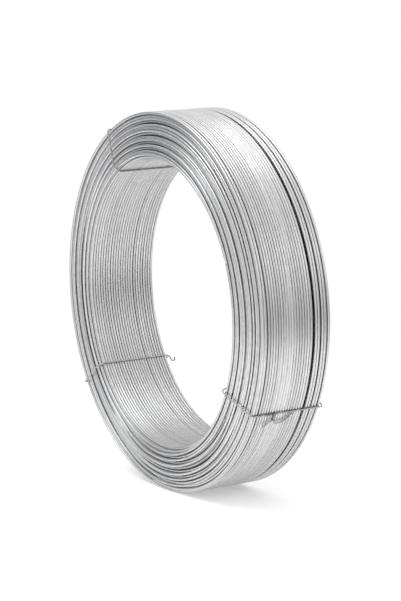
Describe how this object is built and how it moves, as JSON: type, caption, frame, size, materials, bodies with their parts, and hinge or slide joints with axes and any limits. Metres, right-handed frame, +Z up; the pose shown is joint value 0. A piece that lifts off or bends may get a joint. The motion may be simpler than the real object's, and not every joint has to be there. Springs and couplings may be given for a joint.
{
  "type": "coil of galvanised wire",
  "caption": "Coil of bright galvanised steel wire, wound in layers about an open bore, standing on its rim and held by thin wire ties.",
  "frame": {"origin": "on the bore axis, in the middle of the rim's width", "axes": "+Y along the bore axis away from the end that the picture shows, +Z up, the coil standing on its rim"},
  "size_m": [0.2396, 0.0621, 0.2396],
  "materials": {
    "galvanised_wire": "bright zinc, drawn",
    "tie_wire": "bright zinc, soft annealed"
  },
  "bodies": {
    "root": {"wire_coil": "galvanised_wire", "upper_tie": "tie_wire", "left_tie": "tie_wire", "right_tie": "tie_wire"}
  },
  "joints": []
}
